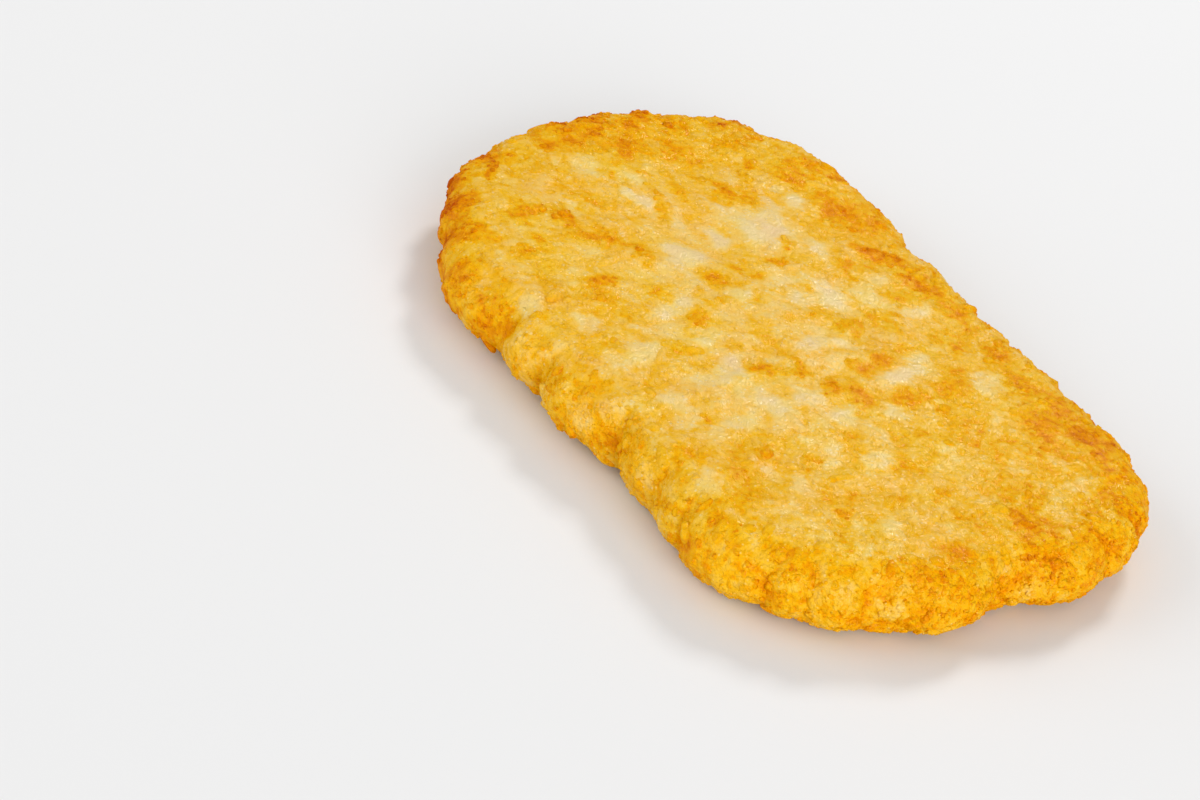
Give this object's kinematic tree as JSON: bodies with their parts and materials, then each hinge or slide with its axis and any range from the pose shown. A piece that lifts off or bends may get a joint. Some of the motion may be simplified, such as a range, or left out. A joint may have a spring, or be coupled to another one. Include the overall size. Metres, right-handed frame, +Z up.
{
  "type": "hash brown",
  "caption": "Flat oblong hash brown patty of fried shredded potato, with rounded corners, a lobed rim and a craggy golden crust.",
  "frame": {"origin": "under the middle of the patty, on the plane it lies on", "axes": "+X along the patty's length, +Y across it, +Z up through its thickness"},
  "size_m": [0.1152, 0.0718, 0.0118],
  "materials": {
    "fried_potato": "fried potato crust, golden with browned spots and a light shine of oil"
  },
  "bodies": {
    "root": {"hash_brown": "fried_potato"}
  },
  "joints": []
}
